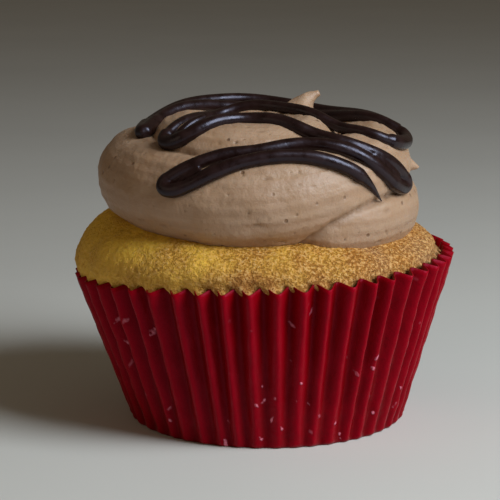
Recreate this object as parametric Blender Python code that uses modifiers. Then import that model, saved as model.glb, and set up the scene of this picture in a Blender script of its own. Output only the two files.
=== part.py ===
"""A cupcake: a sponge baked in a pleated paper case, topped with one piped rope of chocolate
buttercream that coils up to a small peak, and a zigzag of dark chocolate piped over it.

The origin is the middle of the case's underside, +Z is up and -Y is the front. Units are metres.
"""

import math

import bmesh
import bpy
from mathutils import Vector
from mathutils.bvhtree import BVHTree

MM = 0.001
GAP = 0.3 * MM  # clearance kept between neighbouring pieces
WELD = 0.01 * MM

# Paper case: a flat round base and a flared wall, pressed into pleats
BASE_RADIUS = 25.8 * MM
BASE_FLAT_RADIUS = 24.7 * MM
CORNER_HEIGHT = 1.2 * MM
RIM_RADIUS = 35.0 * MM
WALL_SLANT = 31.2 * MM  # from the base's edge to the rim, measured along the paper
PAPER = 0.35 * MM
RIM_SHIFT_X = -0.6 * MM
RIM_SLOPE_X = 0.035  # the rim stands higher on the +X side
RIM_DIP = 1.5 * MM  # the sponge has pushed the rim down on the -X side
RIM_DIP_POWER = 6  # higher keeps the dip closer to -X
PLEATS = 48
POINTS_PER_PLEAT = 4
PLEAT_DEPTH_RIM = 2.2 * MM
PLEAT_DEPTH_BASE = 0.7 * MM
PLEAT_CROWDING = 0.07  # pleats stand closer together on the +X side
GROOVE_RISE = 0.4 * MM  # the paper's edge stands higher in the grooves

# Sponge: fills the case, spills over its rim in a lip, and rises in a lopsided dome
SPONGE_SEGMENTS = 48
LIP_RADIUS = 33.1 * MM
LIP_SHIFT_X = -2.2 * MM
LIP_TUCK = 0.6 * MM
LIP_TUCK_RISE = 0.1 * MM
LIP_ABOVE_RIM = 0.45 * MM
LIP_HIGHEST = 30.4 * MM
LIP_SIDE = 1.2 * MM
DOME_TOP = 40.6 * MM
DOME_SLOPE_X = -0.09
DOME_SLOPE_Y = 0.06
DOME_STEPS = 9
DOME_FULLNESS = 0.8
CUTTER_FOOT = 12.0 * MM

# Icing swirl: (turn in degrees, distance from the axis, height, rope radius), lengths in mm
SWIRL_AXIS = Vector((-1.7, 0.0, 0.0)) * MM
SWIRL_STATIONS = (
    (-74, 20.0, 38.4, 1.5),
    (-66, 21.2, 39.4, 5.8),
    (-48, 21.9, 39.4, 7.2),
    (-20, 22.0, 39.5, 7.5),
    (10, 21.9, 39.7, 7.6),
    (60, 21.9, 41.6, 7.9),
    (120, 21.7, 43.8, 8.1),
    (180, 21.2, 45.3, 8.2),
    (225, 21.2, 44.0, 8.5),
    (262, 20.9, 43.2, 9.0),
    (292, 20.5, 44.2, 8.8),
    (318, 20.5, 45.8, 8.2),
    (350, 20.2, 46.8, 7.8),
    (385, 19.6, 47.5, 7.6),
    (440, 17.4, 48.5, 7.6),
    (495, 14.8, 49.1, 7.5),
    (540, 13.2, 49.0, 7.5),
    (568, 14.6, 48.7, 7.6),
    (592, 16.4, 48.8, 7.8),
    (618, 16.4, 48.6, 7.8),
    (645, 14.8, 48.6, 7.6),
    (675, 11.2, 49.2, 7.4),
    (705, 7.0, 50.0, 7.2),
)
# The rope's end is pulled up into a peak with a hooked tip: (x, y, z, radius) in mm
PEAK_STATIONS = (
    (2.8, -0.6, 51.6, 7.0),
    (4.4, 0.2, 53.9, 5.3),
    (5.8, 1.0, 56.2, 3.3),
    (6.8, 1.6, 57.8, 1.9),
    (8.0, 2.0, 58.9, 1.0),
    (9.5, 2.2, 59.6, 0.6),
)
ROPE_STEPS = 6
PEAK_STEPS = 5
CORE_CENTRE = Vector((-2.0, 2.5, 48.1)) * MM  # icing fills the middle of the coils
CORE_RADII = Vector((13.0, 13.0, 9.6)) * MM
CORE_SEGMENTS = 32
CORE_RINGS = 16
SWIRL_VOXEL = 0.7 * MM
SWIRL_SHARE = 0.042  # of the remeshed surface's triangles that are kept

# Chocolate zigzag: drawn on a flat sheet that leans back by SHEET_LEAN degrees, then laid on the icing
# along the sheet's normal. For each strand, from the front one to the back one, in mm on the sheet:
# (across at its start, across at its end, up at its start, up at its end, bow in its middle, sway)
SHEET_LEAN = 45.0
ZIGZAG_STRANDS = (
    (20.0, -14.0, 17.5, 14.0, 3.0, 0.0),
    (-17.0, 21.0, 16.5, 20.5, 3.5, -0.5),
    (24.0, -14.0, 24.5, 24.5, 3.0, -3.0),
    (-17.5, 21.0, 27.0, 28.0, 11.0, 3.0),
    (24.0, -20.0, 36.0, 38.0, 10.0, -1.0),
    (-22.5, 23.5, 38.0, 37.5, 12.5, 1.5),
)
# How far each turn swings out from between the ends of its two strands: (across, up) in mm
ZIGZAG_TURNS = ((-2.0, -0.5), (1.5, 0.0), (-1.5, -0.5), (2.0, 0.0), (-1.0, -9.0))
STRAND_STEPS = 18
TURN_STEPS = 5
SHEET_ABOVE = 100.0 * MM  # the drop onto the icing starts this far off the sheet
BEAD_RADIUS = 1.25 * MM
BEAD_TURN_RADIUS = 1.4 * MM
BEAD_TIP_RADIUS = 0.35 * MM
BEAD_SEAT = 0.7  # the bead's middle stands this share of its radius off the icing
BEAD_VOXEL = 0.4 * MM
BEAD_SHARE = 0.023


def clear_scene():
    for obj in list(bpy.data.objects):
        bpy.data.objects.remove(obj)


def new_collection(name):
    collection = bpy.data.collections.new(name)
    bpy.context.scene.collection.children.link(collection)
    return collection


def material(name, colour, roughness):
    made = bpy.data.materials.new(name)
    made.use_nodes = True
    shader = made.node_tree.nodes["Principled BSDF"]
    shader.inputs["Base Color"].default_value = (*colour, 1.0)
    shader.inputs["Roughness"].default_value = roughness
    shader.inputs["Metallic"].default_value = 0.0
    return made


def new_object(name, mesh, collection):
    """An object from a bmesh, which is freed."""
    data = bpy.data.meshes.new(name)
    mesh.to_mesh(data)
    mesh.free()
    obj = bpy.data.objects.new(name, data)
    collection.objects.link(obj)
    return obj


def lofted(name, rings, collection):
    """A closed body through rings of equal point counts, with the first and last ring capped."""
    mesh = bmesh.new()
    rows = [[mesh.verts.new(point) for point in ring] for ring in rings]
    for lower, upper in zip(rows, rows[1:]):
        count = len(lower)
        for i in range(count):
            j = (i + 1) % count
            mesh.faces.new((lower[i], lower[j], upper[j], upper[i]))
    mesh.faces.new(reversed(rows[0]))
    mesh.faces.new(rows[-1])
    bmesh.ops.recalc_face_normals(mesh, faces=mesh.faces)
    return new_object(name, mesh, collection)


def add_modifier(obj, kind, **settings):
    modifier = obj.modifiers.new(kind.title(), kind)
    for key, value in settings.items():
        setattr(modifier, key, value)
    return modifier


def evaluated_mesh(obj):
    graph = bpy.context.evaluated_depsgraph_get()
    return bpy.data.meshes.new_from_object(obj.evaluated_get(graph))


# ---------------------------------------------------------------- paper case


def pleat_angles():
    """The angles of the ridges, flanks and grooves, crowded towards +X."""
    count = PLEATS * POINTS_PER_PLEAT
    for i in range(count):
        even = math.tau * i / count
        yield even - PLEAT_CROWDING * math.sin(even)


def pleat_fold(index):
    """How far a point round the case is folded in: 0 on a pleat's ridge, 1 in its groove."""
    return 0.5 - 0.5 * math.cos(math.tau * index / POINTS_PER_PLEAT)


def rim_height(angle, fold):
    """The height of the paper's edge, which a wall of constant slant gives."""
    run = RIM_RADIUS - PLEAT_DEPTH_RIM * fold - (BASE_RADIUS - PLEAT_DEPTH_BASE * fold)
    rise = math.sqrt(WALL_SLANT**2 - run**2) + GROOVE_RISE * fold
    lean = RIM_SLOPE_X * RIM_RADIUS * math.cos(angle)
    dip = RIM_DIP * (0.5 - 0.5 * math.cos(angle)) ** RIM_DIP_POWER
    return rise + lean - dip


def wall_ring(share, inward=0.0):
    """A pleated ring of the wall: share is 0 at the base's edge and 1 at the rim."""
    ring = []
    for index, angle in enumerate(pleat_angles()):
        fold = pleat_fold(index)
        rim = RIM_RADIUS - PLEAT_DEPTH_RIM * fold
        base = BASE_RADIUS - PLEAT_DEPTH_BASE * fold
        radius = base + (rim - base) * share - inward
        height = CORNER_HEIGHT + (rim_height(angle, fold) - CORNER_HEIGHT) * share
        x = radius * math.cos(angle) + RIM_SHIFT_X * share
        ring.append(Vector((x, radius * math.sin(angle), height)))
    return ring


def flat_ring(angles, radius, height):
    return [Vector((radius * math.cos(a), radius * math.sin(a), height)) for a in angles]


def make_case(collection):
    angles = list(pleat_angles())
    outside = [flat_ring(angles, BASE_FLAT_RADIUS, 0.0)]
    outside += [wall_ring(share) for share in (0.0, 0.5, 1.0)]
    inside = [wall_ring(share, PAPER) for share in (1.0, 0.5, 0.0)]
    inside.append(flat_ring(angles, BASE_FLAT_RADIUS - PAPER, PAPER))
    case = lofted("paper_case", outside + inside, collection)
    case.data.materials.append(material("case_red_paper", (0.36, 0.004, 0.012), 0.45))


# -------------------------------------------------------------------- sponge


def dome_ring(angles, swing, grow=0.0):
    """A ring of the dome: swing is 0 at its widest and a quarter turn at its top."""
    ring = []
    for angle in angles:
        radius = (LIP_RADIUS + grow) * math.cos(swing) ** DOME_FULLNESS
        x = radius * math.cos(angle)
        y = radius * math.sin(angle)
        side = lip_height(angle) + LIP_SIDE
        top = DOME_TOP + grow + DOME_SLOPE_X * x + DOME_SLOPE_Y * y
        ring.append(Vector((x + LIP_SHIFT_X, y, side + (top - side) * math.sin(swing))))
    return ring


def lip_height(angle):
    return min(rim_height(angle, 1.0) + LIP_ABOVE_RIM, LIP_HIGHEST)


def sponge_rings():
    """Rings from the flat base, up the inside of the case, over the lip and up the dome."""
    angles = [math.tau * i / SPONGE_SEGMENTS for i in range(SPONGE_SEGMENTS)]
    clear = PAPER + GAP
    inner_base = BASE_RADIUS - PLEAT_DEPTH_BASE - clear
    inner_rim = RIM_RADIUS - PLEAT_DEPTH_RIM - clear
    rings = [flat_ring(angles, BASE_FLAT_RADIUS - clear - GAP, clear)]
    for share in (0.0, 0.5, 1.0):
        radius = inner_base + (inner_rim - inner_base) * share
        ring = []
        for angle in angles:
            height = CORNER_HEIGHT + (lip_height(angle) - CORNER_HEIGHT) * share
            x = radius * math.cos(angle) + RIM_SHIFT_X * share
            ring.append(Vector((x, radius * math.sin(angle), height)))
        rings.append(ring)
    tucked = LIP_RADIUS - LIP_TUCK
    under_lip = []
    for angle in angles:
        x = tucked * math.cos(angle) + LIP_SHIFT_X
        under_lip.append(Vector((x, tucked * math.sin(angle), lip_height(angle) + LIP_TUCK_RISE)))
    rings.append(under_lip)
    for step in range(DOME_STEPS):
        rings.append(dome_ring(angles, 0.5 * math.pi * step / DOME_STEPS))
    return rings


def make_sponge(collection):
    sponge = lofted("sponge", sponge_rings(), collection)
    sponge.data.materials.append(material("sponge_golden", (0.60, 0.34, 0.10), 0.8))


def make_dome_cutter(collection):
    """The sponge's dome and a gap over it, which the icing is cut by."""
    angles = [math.tau * i / SPONGE_SEGMENTS for i in range(SPONGE_SEGMENTS)]
    rings = [dome_ring(angles, 0.5 * math.pi * step / DOME_STEPS, GAP) for step in range(DOME_STEPS)]
    foot = [point - Vector((0.0, 0.0, CUTTER_FOOT)) for point in rings[0]]
    cutter = lofted("dome_cutter", [foot, *rings], collection)
    cutter.hide_render = True
    cutter.display_type = "WIRE"
    return cutter


# --------------------------------------------------------- icing and chocolate


def smooth_through(rows, steps):
    """Rows of numbers with steps Catmull-Rom points put in each gap between them."""
    made = []
    for i in range(len(rows) - 1):
        spans = zip(rows[max(i - 1, 0)], rows[i], rows[i + 1], rows[min(i + 2, len(rows) - 1)])
        spans = list(spans)
        for step in range(steps):
            t = step / steps
            point = []
            for a, b, c, d in spans:
                bend = (2 * a - 5 * b + 4 * c - d) * t**2 + (3 * b - a - 3 * c + d) * t**3
                point.append(0.5 * (2 * b + (c - a) * t + bend))
            made.append(tuple(point))
    made.append(tuple(rows[-1]))
    return made


def tube(name, points, collection, resolution=4):
    """A mesh tube along (x, y, z, radius) points, with its caps welded."""
    data = bpy.data.curves.new(name + "_line", "CURVE")
    data.dimensions = "3D"
    data.bevel_depth = 1.0
    data.bevel_resolution = resolution
    data.use_fill_caps = True
    spline = data.splines.new("POLY")
    spline.points.add(len(points) - 1)
    for point, (x, y, z, radius) in zip(spline.points, points):
        point.co = (x, y, z, 1.0)
        point.radius = radius
    line = bpy.data.objects.new(name + "_line", data)
    collection.objects.link(line)
    mesh = bmesh.new()
    mesh.from_mesh(evaluated_mesh(line))
    bmesh.ops.remove_doubles(mesh, verts=mesh.verts, dist=WELD)
    bpy.data.objects.remove(line)
    return new_object(name, mesh, collection)


def rope_points():
    """The icing rope's middle line with its radius: (x, y, z, radius) in metres."""
    points = []
    for turn, distance, height, radius in smooth_through(SWIRL_STATIONS, ROPE_STEPS):
        angle = math.radians(turn)
        offset = Vector((distance * math.cos(angle), distance * math.sin(angle), height)) * MM
        points.append((*(SWIRL_AXIS + offset), radius * MM))
    peak = [tuple(value * MM for value in station) for station in PEAK_STATIONS]
    return points + smooth_through([points[-1], *peak], PEAK_STEPS)[1:]


def make_icing(collection, cutter):
    icing = tube("icing_swirl", rope_points(), collection)
    mesh = bmesh.new()
    mesh.from_mesh(icing.data)
    core = bmesh.ops.create_uvsphere(
        mesh,
        u_segments=CORE_SEGMENTS,
        v_segments=CORE_RINGS,
        radius=1.0,
    )
    bmesh.ops.scale(mesh, verts=core["verts"], vec=CORE_RADII)
    bmesh.ops.translate(mesh, verts=core["verts"], vec=CORE_CENTRE)
    mesh.to_mesh(icing.data)
    mesh.free()
    add_modifier(icing, "REMESH", mode="VOXEL", voxel_size=SWIRL_VOXEL)
    add_modifier(icing, "DECIMATE", ratio=SWIRL_SHARE)
    add_modifier(icing, "BOOLEAN", operation="DIFFERENCE", object=cutter)
    icing.data.materials.append(material("icing_mocha", (0.36, 0.24, 0.17), 0.55))
    return icing


def sheet_point(across, up, height=0.0):
    """A point of the zigzag's leaning sheet, or one that stands off it by height."""
    lean = math.radians(SHEET_LEAN)
    return Vector((
        across,
        up * math.cos(lean) - height * math.sin(lean),
        up * math.sin(lean) + height * math.cos(lean),
    ))


def strand_place(strand, share):
    """Where a strand is on the sheet, (across, up) in mm, at a share of its way."""
    start_across, end_across, start_up, end_up, bow, sway = strand
    across = start_across + (end_across - start_across) * share
    up = start_up + (end_up - start_up) * share
    return across, up + bow * math.sin(math.pi * share) + sway * math.sin(math.tau * share)


def turn_place(index, share):
    """Where the turn after strand index is on the sheet, (across, up) in mm: half an ellipse."""
    first = Vector(strand_place(ZIGZAG_STRANDS[index], 1.0))
    last = Vector(strand_place(ZIGZAG_STRANDS[index + 1], 0.0))
    swing = math.pi * share
    out = Vector(ZIGZAG_TURNS[index]) * math.sin(swing)
    return tuple((first + last) / 2.0 + (first - last) / 2.0 * math.cos(swing) + out)


def bead_stations():
    """The zigzag on its sheet: (across, up, radius), thicker in the turns and thin at its tip."""
    stations = []
    for index, strand in enumerate(ZIGZAG_STRANDS):
        for step in range(STRAND_STEPS + 1):
            across, up = strand_place(strand, step / STRAND_STEPS)
            stations.append((across * MM, up * MM, BEAD_RADIUS))
        if index < len(ZIGZAG_TURNS):
            for step in range(1, TURN_STEPS):
                across, up = turn_place(index, step / TURN_STEPS)
                stations.append((across * MM, up * MM, BEAD_TURN_RADIUS))
    stations[0] = (*stations[0][:2], BEAD_TIP_RADIUS)
    return stations


def bead_points(icing):
    """The bead's middle line: it lies on the icing, with its underside pressed flat."""
    surface = evaluated_mesh(icing)
    corners = [vertex.co for vertex in surface.vertices]
    tree = BVHTree.FromPolygons(corners, [face.vertices for face in surface.polygons])
    down = sheet_point(0.0, 0.0, -1.0)
    points = []
    for across, up, radius in bead_stations():
        foot, normal, _, _ = tree.ray_cast(sheet_point(across, up, SHEET_ABOVE), down)
        points.append(foot + normal * (radius * BEAD_SEAT + GAP))
    eased = [points[0]]
    for before, here, after in zip(points, points[1:], points[2:]):
        eased.append((before + here * 2.0 + after) / 4.0)
    eased.append(points[-1])
    return [(*point, station[2]) for point, station in zip(eased, bead_stations())]


def make_zigzag(collection, icing, cutters):
    zigzag = tube("chocolate_zigzag", bead_points(icing), collection, resolution=3)
    skin = bpy.data.objects.new("icing_skin_cutter", evaluated_mesh(icing))
    cutters.objects.link(skin)
    skin.hide_render = True
    skin.display_type = "WIRE"
    add_modifier(skin, "DISPLACE", strength=GAP, mid_level=0.0)
    add_modifier(zigzag, "REMESH", mode="VOXEL", voxel_size=BEAD_VOXEL)
    add_modifier(zigzag, "DECIMATE", ratio=BEAD_SHARE)
    add_modifier(zigzag, "BOOLEAN", operation="DIFFERENCE", object=skin)
    zigzag.data.materials.append(material("dark_chocolate", (0.018, 0.008, 0.006), 0.2))


def main():
    clear_scene()
    parts = new_collection("cupcake")
    cutters = new_collection("cutters")
    make_case(parts)
    make_sponge(parts)
    icing = make_icing(parts, make_dome_cutter(cutters))
    make_zigzag(parts, icing, cutters)


main()
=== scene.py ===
import math

import bmesh
import bpy
import numpy as np
from bpy.props import FloatProperty, FloatVectorProperty, IntProperty, PointerProperty
from mathutils import Matrix, Vector, noise
from mathutils.bvhtree import BVHTree


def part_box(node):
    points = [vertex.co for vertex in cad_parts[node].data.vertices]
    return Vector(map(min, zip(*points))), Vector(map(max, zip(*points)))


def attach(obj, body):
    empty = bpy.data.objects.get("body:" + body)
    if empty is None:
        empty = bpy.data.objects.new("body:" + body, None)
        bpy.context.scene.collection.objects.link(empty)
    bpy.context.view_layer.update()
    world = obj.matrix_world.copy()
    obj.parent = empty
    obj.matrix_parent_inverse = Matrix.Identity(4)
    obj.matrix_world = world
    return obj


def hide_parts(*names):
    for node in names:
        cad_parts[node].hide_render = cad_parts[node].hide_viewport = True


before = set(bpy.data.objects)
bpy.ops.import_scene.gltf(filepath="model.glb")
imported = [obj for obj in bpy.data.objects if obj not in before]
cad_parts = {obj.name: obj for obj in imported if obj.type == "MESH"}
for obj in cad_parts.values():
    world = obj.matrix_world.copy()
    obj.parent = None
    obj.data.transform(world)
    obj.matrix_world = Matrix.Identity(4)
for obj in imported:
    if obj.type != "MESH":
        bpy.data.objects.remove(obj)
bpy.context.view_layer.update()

bl_info = {
    "name": "Frosted cupcake",
    "version": (1, 0, 0),
    "blender": (4, 5, 0),
    "location": "3D View > Sidebar > Cupcake",
    "description": "A cupcake in a pleated paper case with a piped swirl and a chocolate zigzag",
    "category": "Add Mesh",
}

MM = 0.001
BODY = "root"

CASE_NODE = "paper_case"
SPONGE_NODE = "sponge"
ICING_NODE = "icing_swirl"
ZIGZAG_NODE = "chocolate_zigzag"

case_low, case_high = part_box(CASE_NODE)
icing_low, icing_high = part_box(ICING_NODE)

# The icing rope's stations: (turn in degrees, distance from its axis, height, rope radius) in mm
SWIRL_AXIS = Vector((-1.7, 0.0, 0.0)) * MM
SWIRL_STATIONS = (
    (-74, 20.0, 38.4, 1.5),
    (-66, 21.2, 39.4, 5.8),
    (-48, 21.9, 39.4, 7.2),
    (-20, 22.0, 39.5, 7.5),
    (10, 21.9, 39.7, 7.6),
    (60, 21.9, 41.6, 7.9),
    (120, 21.7, 43.8, 8.1),
    (180, 21.2, 45.3, 8.2),
    (225, 21.2, 44.0, 8.5),
    (262, 20.9, 43.2, 9.0),
    (292, 20.5, 44.2, 8.8),
    (318, 20.5, 45.8, 8.2),
    (350, 20.2, 46.8, 7.8),
    (385, 19.6, 47.5, 7.6),
    (440, 17.4, 48.5, 7.6),
    (495, 14.8, 49.1, 7.5),
    (540, 13.2, 49.0, 7.5),
    (568, 14.6, 48.7, 7.6),
    (592, 16.4, 48.8, 7.8),
    (618, 16.4, 48.6, 7.8),
    (645, 14.8, 48.6, 7.6),
    (675, 11.2, 49.2, 7.4),
    (705, 7.0, 50.0, 7.2),
)
# The rope's end, pulled up into a peak with a hooked tip: (x, y, z, radius) in mm
PEAK_STATIONS = (
    (2.8, -0.6, 51.6, 7.0),
    (4.4, 0.2, 53.9, 5.3),
    (5.8, 1.0, 56.2, 3.3),
    (6.8, 1.6, 57.8, 1.9),
    (8.0, 2.0, 58.9, 1.0),
    (9.5, 2.2, 59.6, 0.6),
)
# A small spike that was pulled out of the rope's right side: (x, y, z, radius) in mm
SPIKE_STATIONS = ((24.6, -1.0, 47.0, 1.6), (26.3, -1.0, 46.6, 1.0), (27.8, -1.0, 46.2, 0.3))
# How far a crease between two turns of the rope spreads, in mm
CREASE_WIDTH = 0.9
# The height above which the creases fade out, in mm
CREASE_TOP = 54.0
CORE_CENTRE = Vector((-2.0, 2.5, 48.1)) * MM
CORE_RADII = Vector((13.0, 13.0, 9.6)) * MM

# The chocolate zigzag is drawn on a flat sheet that leans back by SHEET_LEAN degrees, then laid on the icing
# along the sheet's normal. For each strand, from the front one to the back one, in mm on the sheet:
# (across at its start, across at its end, up at its start, up at its end, bow in its middle, sway)
SHEET_LEAN = 45.0
ZIGZAG_STRANDS = (
    (20.0, -14.0, 17.5, 14.0, 3.0, 0.0),
    (-17.0, 21.0, 16.5, 20.5, 3.5, -0.5),
    (24.0, -14.0, 24.5, 24.5, 3.0, -3.0),
    (-17.5, 21.0, 27.0, 28.0, 11.0, 3.0),
    (24.0, -20.0, 36.0, 38.0, 10.0, -1.0),
    (-22.5, 23.5, 38.0, 37.5, 12.5, 1.5),
)
# How far each turn swings out from between the ends of its two strands: (across, up) in mm
ZIGZAG_TURNS = ((-2.0, -0.5), (1.5, 0.0), (-1.5, -0.5), (2.0, 0.0), (-1.0, -9.0))
STRAND_STEPS = 60
TURN_STEPS = 14
SHEET_ABOVE = 100.0 * MM
# How thick each strand is, as a share of the bead's radius
STRAND_SHARES = (1.06, 1.0, 1.0, 0.86, 0.96, 0.9)
# The tight turns, and how far chocolate filled their insides, as a share of the strands
FILLED_TURNS = (0, 1, 2)
FILL_REACH = 0.12
FILL_STEPS = 12



# ------------------------------------------------------------------ settings


class CaseSettings(bpy.types.PropertyGroup):
    pleats: IntProperty(name="Pleats", description="Pleats round the case", default=48, min=12)
    points_per_pleat: IntProperty(
        name="Points per pleat", description="Mesh points across one pleat", default=14, min=6
    )
    base_radius: FloatProperty(
        name="Base radius", description="Radius where the wall starts", default=25.8 * MM, unit="LENGTH"
    )
    flat_radius: FloatProperty(
        name="Flat radius", description="Radius of the flat underside", default=24.7 * MM, unit="LENGTH"
    )
    corner: FloatProperty(
        name="Corner", description="Height of the rounded base corner", default=1.2 * MM, unit="LENGTH"
    )
    rim_radius: FloatProperty(
        name="Rim radius", description="Radius of the pleats' ridges at the rim",
        default=35.0 * MM, unit="LENGTH",
    )
    wall_slant: FloatProperty(
        name="Wall slant", description="Length of the wall along the paper",
        default=31.2 * MM, unit="LENGTH",
    )
    rim_shift: FloatProperty(
        name="Rim shift", description="How far the rim sits to the right", default=-0.6 * MM, unit="LENGTH"
    )
    rim_slope: FloatProperty(
        name="Rim slope", description="Rise of the rim to the right", default=0.035
    )
    rim_dip: FloatProperty(
        name="Rim dip", description="How far the sponge pushes the rim down on the left",
        default=1.5 * MM, unit="LENGTH",
    )
    depth_rim: FloatProperty(
        name="Pleat depth at the rim", description="Ridge to groove at the rim",
        default=2.2 * MM, unit="LENGTH",
    )
    depth_base: FloatProperty(
        name="Pleat depth at the base", description="Ridge to groove at the base",
        default=0.7 * MM, unit="LENGTH",
    )
    crowding: FloatProperty(
        name="Crowding", description="How much closer pleats stand on the right", default=0.07
    )
    paper: FloatProperty(
        name="Paper", description="Thickness of the paper", default=0.16 * MM, unit="LENGTH"
    )
    colour: FloatVectorProperty(
        name="Colour", description="The dyed paper", subtype="COLOR", default=(0.27, 0.0003, 0.006)
    )
    # Painted shade: the darker red that the grooves of the pleats are painted with.
    shade: FloatVectorProperty(
        name="Shade", description="The paper in its grooves", subtype="COLOR", default=(0.13, 0.0002, 0.001)
    )
    # Painted highlight: the pale pink of glints on the paper's creases.
    crease_glint: FloatVectorProperty(
        name="Glint", description="The paper where it was creased", subtype="COLOR",
        default=(0.75, 0.22, 0.30),
    )


class SpongeSettings(bpy.types.PropertyGroup):
    segments: IntProperty(name="Segments", description="Mesh points round the dome", default=560)
    lip_radius: FloatProperty(
        name="Lip radius", description="Radius of the dome at its widest", default=33.1 * MM, unit="LENGTH"
    )
    lip_shift: FloatProperty(
        name="Lip shift", description="How far the dome sits to the right", default=-2.2 * MM, unit="LENGTH"
    )
    dome_top: FloatProperty(
        name="Dome top", description="Height of the dome's middle", default=40.6 * MM, unit="LENGTH"
    )
    slope_x: FloatProperty(name="Slope X", description="Rise of the dome to the right", default=-0.09)
    slope_y: FloatProperty(name="Slope Y", description="Rise of the dome to the back", default=0.06)
    fullness: FloatProperty(name="Fullness", description="Lower is a squarer dome", default=0.8)
    crumb: FloatProperty(
        name="Crumb", description="Height of the crumb's relief", default=0.12 * MM, unit="LENGTH"
    )
    yellow: FloatVectorProperty(
        name="Yellow", description="Yellow crumb", subtype="COLOR", default=(0.86, 0.50, 0.050)
    )
    golden: FloatVectorProperty(
        name="Golden", description="Baked crust", subtype="COLOR", default=(0.44, 0.165, 0.016)
    )
    tan: FloatVectorProperty(
        name="Tan", description="Paler crust", subtype="COLOR", default=(0.42, 0.20, 0.075)
    )
    pale: FloatVectorProperty(
        name="Pale", description="Bright crumbs", subtype="COLOR", default=(0.66, 0.40, 0.16)
    )
    # Partly real browned specks and partly painted shade in the pores.
    brown: FloatVectorProperty(
        name="Brown", description="Browned specks and pores", subtype="COLOR", default=(0.17, 0.05, 0.008)
    )


class IcingSettings(bpy.types.PropertyGroup):
    voxel: FloatProperty(name="Voxel", description="Mesh size", default=0.33 * MM, unit="LENGTH")
    streak: FloatProperty(
        name="Streaks", description="Height of the streaks along the rope",
        default=0.20 * MM, unit="LENGTH",
    )
    pit: FloatProperty(
        name="Pits", description="Depth of the air bubbles", default=0.5 * MM, unit="LENGTH"
    )
    crease: FloatProperty(
        name="Crease", description="Extra depth between the rope's turns",
        default=0.7 * MM, unit="LENGTH",
    )
    colour: FloatVectorProperty(
        name="Colour", description="Mocha buttercream", subtype="COLOR", default=(0.345, 0.205, 0.122)
    )
    pale: FloatVectorProperty(
        name="Pale", description="Streaks of paler buttercream", subtype="COLOR", default=(0.42, 0.27, 0.175)
    )
    tan: FloatVectorProperty(
        name="Tan", description="Warmer patches", subtype="COLOR", default=(0.33, 0.18, 0.085)
    )
    # Painted shade: the darker colour that the creases, bubbles and pricks are painted with.
    deep: FloatVectorProperty(
        name="Deep", description="Creases and bubbles", subtype="COLOR", default=(0.15, 0.075, 0.035)
    )


class ZigzagSettings(bpy.types.PropertyGroup):
    radius: FloatProperty(
        name="Bead radius", description="Radius of the bead along a strand", default=1.24 * MM, unit="LENGTH"
    )
    turn_radius: FloatProperty(
        name="Turn radius", description="Radius of the bead in its turns", default=1.4 * MM, unit="LENGTH"
    )
    tip_radius: FloatProperty(
        name="Tip radius", description="Radius of the pointed end", default=0.15 * MM, unit="LENGTH"
    )
    fill_radius: FloatProperty(
        name="Fill radius", description="Radius of the chocolate inside the tight turns",
        default=0.8 * MM, unit="LENGTH",
    )
    seat: FloatProperty(
        name="Seat", description="Share of the radius that the bead stands off the icing", default=0.62
    )
    tip_steps: IntProperty(name="Tip steps", description="Points that the tip grows over", default=8)
    easing: IntProperty(name="Easing", description="Times the laid line is smoothed", default=24)
    voxel: FloatProperty(name="Voxel", description="Mesh size", default=0.22 * MM, unit="LENGTH")
    colour: FloatVectorProperty(
        name="Colour", description="Dark chocolate", subtype="COLOR", default=(0.009, 0.0028, 0.0018)
    )


class StageSettings(bpy.types.PropertyGroup):
    distance: FloatProperty(
        name="Distance", description="Camera to the cupcake's axis", default=360.0 * MM, unit="LENGTH"
    )
    height: FloatProperty(
        name="Height", description="Camera above the floor", default=102.1 * MM, unit="LENGTH"
    )
    lens: FloatProperty(name="Lens", description="Focal length in mm", default=142.8)
    aim: FloatVectorProperty(
        name="Aim", description="Point on the axis plane in the middle of the view",
        subtype="TRANSLATION", default=(-3.2 * MM, 0.0, 30.6 * MM),
    )
    floor: FloatVectorProperty(
        name="Floor", description="Pale floor", subtype="COLOR", default=(0.62, 0.59, 0.54)
    )
    key_power: FloatProperty(name="Key", description="Window light in watts", default=3.6)
    fill_power: FloatProperty(name="Fill", description="Fill light in watts", default=0.2)
    world: FloatProperty(name="World", description="Strength of the surroundings", default=0.09)


# ------------------------------------------------------------------- helpers


def deselect_all():
    for obj in bpy.context.selected_objects:
        obj.select_set(False)


def activate(obj):
    deselect_all()
    obj.select_set(True)
    bpy.context.view_layer.objects.active = obj


def apply_modifier(obj, kind, **values):
    """Adds a modifier to obj, sets it and applies it."""
    activate(obj)
    bpy.ops.object.modifier_add(type=kind)
    modifier = obj.modifiers[-1]
    for key, value in values.items():
        setattr(modifier, key, value)
    bpy.ops.object.modifier_apply(modifier=modifier.name)


def get_points(mesh):
    flat = np.empty(len(mesh.vertices) * 3)
    mesh.vertices.foreach_get("co", flat)
    return flat.reshape(-1, 3)


def set_points(mesh, points):
    mesh.vertices.foreach_set("co", np.asarray(points, dtype=float).ravel())
    mesh.update()


def get_normals(mesh):
    flat = np.empty(len(mesh.vertices) * 3)
    mesh.vertex_normals.foreach_get("vector", flat)
    return flat.reshape(-1, 3)


def add_attribute(mesh, name, values):
    """Stores a vector for each point, which a material can read by name."""
    layer = mesh.attributes.new(name, "FLOAT_VECTOR", "POINT")
    layer.data.foreach_set("vector", np.asarray(values, dtype=float).ravel())


def smooth_through(rows, steps):
    """Rows of numbers with steps Catmull-Rom points put in each gap between them."""
    made = []
    for i in range(len(rows) - 1):
        spans = list(zip(rows[max(i - 1, 0)], rows[i], rows[i + 1], rows[min(i + 2, len(rows) - 1)]))
        for step in range(steps):
            t = step / steps
            point = []
            for a, b, c, d in spans:
                bend = (2 * a - 5 * b + 4 * c - d) * t**2 + (3 * b - a - 3 * c + d) * t**3
                point.append(0.5 * (2 * b + (c - a) * t + bend))
            made.append(tuple(point))
    made.append(tuple(rows[-1]))
    return made


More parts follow.
